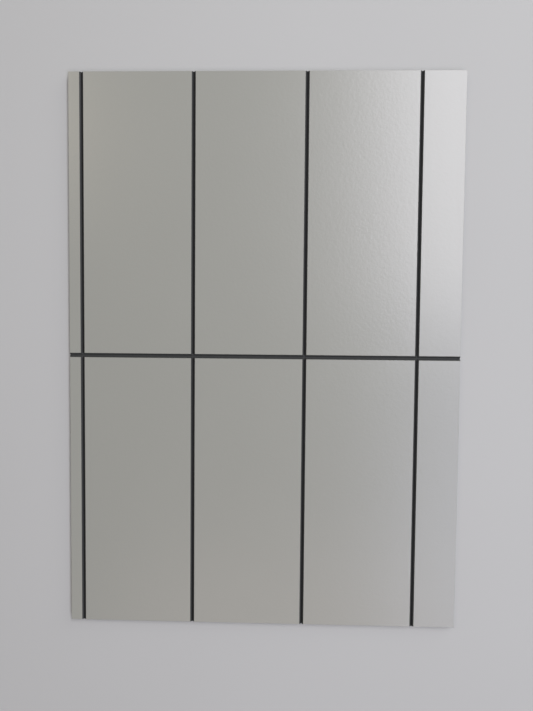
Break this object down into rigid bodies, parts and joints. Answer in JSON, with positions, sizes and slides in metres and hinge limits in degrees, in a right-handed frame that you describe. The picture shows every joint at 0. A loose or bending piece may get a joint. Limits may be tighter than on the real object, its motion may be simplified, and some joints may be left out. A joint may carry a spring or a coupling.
{
  "type": "splashback panel",
  "caption": "Flat sage-grey splashback panel with dark V-grooves milled into its face as stacked tile lines; its back bonds to a wall above a worktop.",
  "frame": {"origin": "centre of the flat back, which the panel lies on", "axes": "+X to the right across the tile columns, +Y from the lower edge to the upper edge as it hangs on a wall, +Z out of the grooved face"},
  "size_m": [0.21, 0.297, 0.004],
  "materials": {
    "sage_laminate": "satin"
  },
  "bodies": {
    "root": {"splashback_panel": "sage_laminate"}
  },
  "joints": []
}
